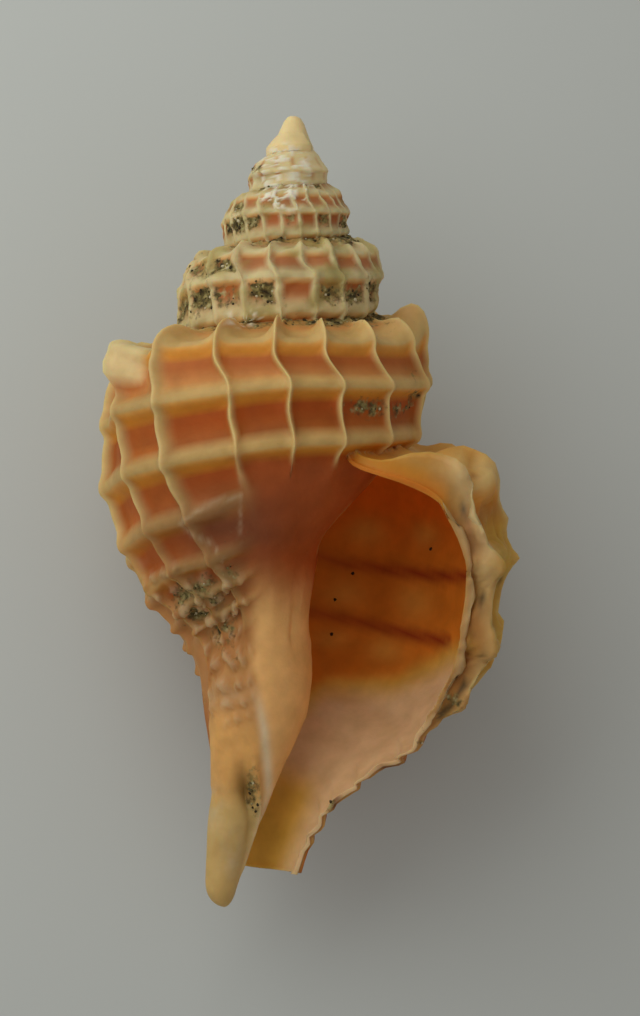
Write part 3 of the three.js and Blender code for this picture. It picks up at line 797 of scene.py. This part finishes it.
# grime: soil in the hollows of the spire, on the shoulder ramp and in a few worn corners
patchy = ease(-0.25, 0.3, cloud(points, 0.8, 71))
grime = np.where(outer, (1 - crest) * ease(14, 17, ribAt) * (1 - ease(56, 66, ribAt)), 0)
grime = grime * 0.8 * ease(0.5, 0.9, cellDirt[cellRib, cellCord] + 0.3 * mottle) * (1 - 0.85 * oval(303, 262, 30, 48))
onRamp = (1 - ease(0.22, 0.5, cordAt)) * ease(8, 9, ribAt) * (1 - ease(60, 70, ribAt))
grime = np.maximum(grime, np.where(outer, 0.7 * onRamp, 0))
soil = (
    (198, 268, 20, 16, 1.0), (190, 304, 18, 16, 1.0), (218, 300, 22, 10, 0.9), (262, 295, 18, 12, 1.0),
    (341, 297, 27, 14, 1.0), (237, 224, 16, 12, 1.0), (228, 250, 14, 9, 0.8), (258, 172, 11, 10, 0.9),
    (372, 292, 12, 18, 0.8), (312, 250, 16, 6, 0.6), (345, 222, 10, 12, 0.7), (182, 322, 18, 9, 0.9),
    (375, 409, 33, 9, 1.0), (412, 392, 8, 20, 0.7), (357, 324, 80, 8, 0.45), (200, 600, 30, 26, 0.8),
    (232, 575, 14, 16, 0.6), (226, 624, 18, 26, 0.65), (254, 790, 8, 22, 1.0), (481, 597, 5, 11, 0.9),
    (452, 697, 11, 13, 1.0), (418, 741, 8, 6, 0.9), (330, 807, 6, 13, 0.9), (461, 512, 4, 12, 0.7),
)
for x, y, wide, tall, amount in soil:
    grime = np.maximum(grime, amount * oval(x, y, wide, tall) * (1 - 0.5 * crest) * ~inner)
grime = grime * (0.45 + 0.55 * patchy)
grime = np.maximum(grime, 0.30 * (1 - crest) * base * outer * ease(-0.2, 0.5, mottle))
grime = np.clip(grime, 0, 1) * (1 - 0.8 * callus)
points += (0.1 * grime * (0.6 + cloud(points, 0.5, 73)))[:, None] * normals

# chalk: a thin white crust in threads
threads = bell(grain(points, 0.55, 51), 0.16) + bell(grain(points, 0.3, 53), 0.1)
crust = np.maximum(oval(284, 180, 28, 34), 0.85 * oval(243, 322, 24, 9)) * np.clip(threads, 0, 1)
crust = np.where(outer | onTip, ease(0.2, 0.5, crust), 0)
tint = layer(tint, "chalk", crust)
grime = grime * (1 - crust)
points += (0.06 * crust)[:, None] * normals
points[:, 2] = np.maximum(points[:, 2], 0)
glow = np.where(inner, 0.05 * front, 0)      # light that comes through the thin wall
gloss = np.where(inner, 0.55, np.where(onPillar, 0.5, 0.4 + 0.15 * crest)) + 0.4 * crust - 0.5 * grime

skinMesh = bpy.data.meshes.new("shell_skin")
skinMesh.vertices.add(len(points))
skinMesh.vertices.foreach_set("co", (points * mm).astype(np.float32).ravel())
skinMesh.loops.add(3 * len(triangles))
skinMesh.loops.foreach_set("vertex_index", triangles.astype(np.int32).ravel())
skinMesh.polygons.add(len(triangles))
skinMesh.polygons.foreach_set("loop_start", np.arange(0, 3 * len(triangles), 3, dtype=np.int32))
skinMesh.update(calc_edges=True)
skinMesh.polygons.foreach_set("use_smooth", np.ones(len(triangles), bool))
rgba = np.concatenate([np.clip(tint, 0, 1), np.ones((len(points), 1))], axis=1)
skinMesh.attributes.new("tint", "FLOAT_COLOR", "POINT").data.foreach_set("color", rgba.astype(np.float32).ravel())
for key, values in (("gloss", gloss), ("grime", grime), ("glow", glow)):
    skinMesh.attributes.new(key, "FLOAT", "POINT").data.foreach_set("value", np.clip(values, 0, 1).astype(np.float32))
skin = bpy.data.objects.new("shell_skin", skinMesh)
scene.collection.objects.link(skin)


# finish of the shell: painted colour with specks, soil broken up by noise, slight translucency, soft gloss
def shellFinish():
    material = bpy.data.materials.new("shell_chalk")
    material.use_nodes = True
    material.cycles.emission_sampling = "NONE"
    nodes, links = material.node_tree.nodes, material.node_tree.links
    shader = nodes["Principled BSDF"]
    place = nodes.new("ShaderNodeTexCoord")

    def attribute(name):
        node = nodes.new("ShaderNodeAttribute")
        node.attribute_name = name
        return node

    def noise(scale, detail):
        node = nodes.new("ShaderNodeTexNoise")
        node.inputs["Scale"].default_value = scale
        node.inputs["Detail"].default_value = detail
        links.new(place.outputs["Object"], node.inputs["Vector"])
        return node

    def ramp(source, stops):
        node = nodes.new("ShaderNodeValToRGB")
        while len(node.color_ramp.elements) < len(stops):
            node.color_ramp.elements.new(0.5)
        for element, (position, shade) in zip(node.color_ramp.elements, stops):
            element.position = position
            element.color = (*shade, 1)
        links.new(source, node.inputs["Fac"])
        return node

    paint, shine, dirt = attribute("tint"), attribute("gloss"), attribute("grime")
    speck = noise(3800, 4)
    cloudy = noise(900, 3)
    soilTone = ramp(noise(2600, 4).outputs["Fac"], ((0.3, (0.03, 0.021, 0.008)), (0.44, (0.11, 0.08, 0.025)), (0.56, (0.26, 0.20, 0.065)), (0.72, (0.52, 0.43, 0.20))))
    shade = ramp(cloudy.outputs["Fac"], ((0.25, (0.80, 0.78, 0.74)), (0.75, (1.0, 1.0, 1.0))))
    tinted = nodes.new("ShaderNodeMix")
    tinted.data_type = "RGBA"
    tinted.blend_type = "MULTIPLY"
    tinted.inputs["Factor"].default_value = 1
    links.new(paint.outputs["Color"], tinted.inputs["A"])
    links.new(shade.outputs["Color"], tinted.inputs["B"])
    # soil shows where its amount and the noise together pass a limit
    amount = nodes.new("ShaderNodeMath")
    amount.operation = "ADD"
    links.new(dirt.outputs["Fac"], amount.inputs[0])
    links.new(speck.outputs["Fac"], amount.inputs[1])
    cover = nodes.new("ShaderNodeMapRange")
    cover.inputs["From Min"].default_value = 0.74
    cover.inputs["From Max"].default_value = 1.04
    links.new(amount.outputs["Value"], cover.inputs["Value"])
    soiled = nodes.new("ShaderNodeMix")
    soiled.data_type = "RGBA"
    links.new(cover.outputs["Result"], soiled.inputs["Factor"])
    links.new(tinted.outputs["Result"], soiled.inputs["A"])
    links.new(soilTone.outputs["Color"], soiled.inputs["B"])
    rough = nodes.new("ShaderNodeMapRange")
    rough.inputs["To Min"].default_value = 0.85
    rough.inputs["To Max"].default_value = 0.25
    links.new(shine.outputs["Fac"], rough.inputs["Value"])
    raised = nodes.new("ShaderNodeBump")
    raised.inputs["Strength"].default_value = 0.2
    raised.inputs["Distance"].default_value = 0.0001
    links.new(speck.outputs["Fac"], raised.inputs["Height"])
    links.new(soiled.outputs["Result"], shader.inputs["Base Color"])
    # painted glow: the inside gives off its tint as light, for light through the thin wall
    links.new(tinted.outputs["Result"], shader.inputs["Emission Color"])
    links.new(attribute("glow").outputs["Fac"], shader.inputs["Emission Strength"])
    links.new(rough.outputs["Result"], shader.inputs["Roughness"])
    links.new(raised.outputs["Normal"], shader.inputs["Normal"])
    shader.inputs["Specular IOR Level"].default_value = 0.22
    shader.inputs["Subsurface Weight"].default_value = 0.3
    shader.inputs["Subsurface Radius"].default_value = (1.0, 0.35, 0.12)
    shader.inputs["Subsurface Scale"].default_value = 0.001
    return material


skin.data.materials.append(shellFinish())
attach(skin, "root")
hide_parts("shell")

# grit: lumpy grains half sunk in the soil, most where the soil lies thickest, and a few dots inside
grit = {"count": 900, "size": (0.04, 0.13), "dots": ((430, 549), (352, 574), (337, 605), (330, 637)), "dotSize": 0.10}
gritTones = np.array([(0.045, 0.033, 0.014), (0.13, 0.10, 0.034), (0.24, 0.185, 0.065), (0.36, 0.29, 0.13), (0.58, 0.50, 0.32)])
strew = np.random.default_rng(5)
corner = points[triangles]
area = np.linalg.norm(np.cross(corner[:, 1] - corner[:, 0], corner[:, 2] - corner[:, 0]), axis=1)
share = np.zeros(len(points))
for k in range(3):
    np.add.at(share, triangles[:, k], area)
share = share * np.clip(grime - 0.25, 0, 1) ** 1.5 * ~inner
seat = strew.choice(len(points), grit["count"], replace=False, p=share / share.sum())
reach = strew.uniform(*grit["size"], grit["count"]) * strew.uniform(0.5, 1, grit["count"])
shadeOf = strew.choice(len(gritTones), grit["count"], p=(0.2, 0.25, 0.25, 0.18, 0.12))
for x, y in grit["dots"]:
    seat = np.append(seat, np.where(inner, np.hypot(planX - x, planY - y), 1e6).argmin())
    reach = np.append(reach, grit["dotSize"])
    shadeOf = np.append(shadeOf, 0)

# each grain is a ball on rings and spokes, its points pushed in and out at random, lying along the surface
ringAt = np.arange(1, 4) * np.pi / 4
spokeAt = np.arange(6) * np.pi / 3
rings, spokes = np.meshgrid(ringAt, spokeAt, indexing="ij")
ball = np.stack([np.sin(rings) * np.cos(spokes), np.sin(rings) * np.sin(spokes), np.cos(rings)], -1).reshape(-1, 3)
ball = np.concatenate([[(0, 0, 1)], ball, [(0, 0, -1)]])
number = 1 + np.arange(18).reshape(3, 6)
turned = np.roll(number, -1, axis=1)
ballFaces = np.concatenate([
    np.stack([np.zeros(6, int), number[0], turned[0]], -1),
    np.stack([number[:-1], number[1:], turned[:-1]], -1).reshape(-1, 3),
    np.stack([turned[:-1], number[1:], turned[1:]], -1).reshape(-1, 3),
    np.stack([np.full(6, 19), turned[2], number[2]], -1),
])
upward = normals[seat]
sideways = np.cross(upward, np.array([0.3, 0.5, 0.8]))
sideways /= np.linalg.norm(sideways, axis=1)[:, None]
axes = np.stack([sideways, np.cross(upward, sideways), 0.7 * upward], 1)
lumpy = ball[None] * strew.uniform(0.7, 1.25, (len(seat), len(ball)))[:, :, None] * reach[:, None, None]
gritPoints = points[seat][:, None] + lumpy @ axes
gritPoints[:, :, 2] = np.maximum(gritPoints[:, :, 2], 0)
gritFaces = (ballFaces[None] + 20 * np.arange(len(seat))[:, None, None]).reshape(-1, 3)
gritShade = np.repeat(gritTones[shadeOf], 20, axis=0)
gritItem = makeMesh("grit", gritPoints.reshape(-1, 3) * mm, gritFaces, {})
gritItem.data.attributes.new("tint", "FLOAT_COLOR", "POINT").data.foreach_set(
    "color", np.concatenate([gritShade, np.ones((len(gritShade), 1))], axis=1).astype(np.float32).ravel())
gritFinish = bpy.data.materials.new("grit")
gritFinish.use_nodes = True
gritColour = gritFinish.node_tree.nodes.new("ShaderNodeAttribute")
gritColour.attribute_name = "tint"
gritShader = gritFinish.node_tree.nodes["Principled BSDF"]
gritShader.inputs["Roughness"].default_value = 0.85
gritShader.inputs["Specular IOR Level"].default_value = 0.2
gritFinish.node_tree.links.new(gritColour.outputs["Color"], gritShader.inputs["Base Color"])
gritItem.data.materials.append(gritFinish)
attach(gritItem, "root")
print("grit:", len(gritFaces), "faces")

# pale paper floor
floorSize = {"half": 2.0, "colour": (0.585, 0.61, 0.585, 1)}
h = floorSize["half"]
floorMesh = bpy.data.meshes.new("floor")
floorMesh.from_pydata([(-h, -h, 0), (h, -h, 0), (h, h, 0), (-h, h, 0)], [], [(0, 1, 2, 3)])
floor = bpy.data.objects.new("floor", floorMesh)
scene.collection.objects.link(floor)
paper = bpy.data.materials.new("paper")
paper.use_nodes = True
paper.node_tree.nodes["Principled BSDF"].inputs["Base Color"].default_value = floorSize["colour"]
paper.node_tree.nodes["Principled BSDF"].inputs["Roughness"].default_value = 0.9
floorMesh.materials.append(paper)

# camera on those axes, no depth of field
spot = (aim + back * view["distance"]) * mm
lens = bpy.data.cameras.new("camera")
lens.sensor_fit = "VERTICAL"
lens.sensor_height = 36
lens.lens = 36 * view["distance"] / (view["rows"] * view["pixel"])
lens.clip_start = 0.01
camera = bpy.data.objects.new("camera", lens)
turned = Matrix((right, up, back)).transposed().to_4x4()
camera.matrix_world = Matrix.Translation(Vector(spot)) @ turned
scene.collection.objects.link(camera)
scene.camera = camera

# soft light from the upper left, a pale room all round
light = {"spot": (-0.066, 0.04, 0.066), "size": 0.13, "power": 0.064, "room": 0.35}
lamp = bpy.data.lights.new("window", "AREA")
lamp.size = light["size"]
lamp.energy = light["power"]
lamp.color = (0.98, 1.0, 0.97)
lampItem = bpy.data.objects.new("window", lamp)
lampItem.location = light["spot"]
lampItem.rotation_euler = (Vector((0, 0, 0.008)) - Vector(light["spot"])).to_track_quat("-Z", "Y").to_euler()
scene.collection.objects.link(lampItem)
world = bpy.data.worlds.new("room")
world.use_nodes = True
world.node_tree.nodes["Background"].inputs["Color"].default_value = (1.0, 0.97, 0.93, 1)
world.node_tree.nodes["Background"].inputs["Strength"].default_value = light["room"]
scene.world = world
scene.view_settings.view_transform = "Standard"
print("scene ready")
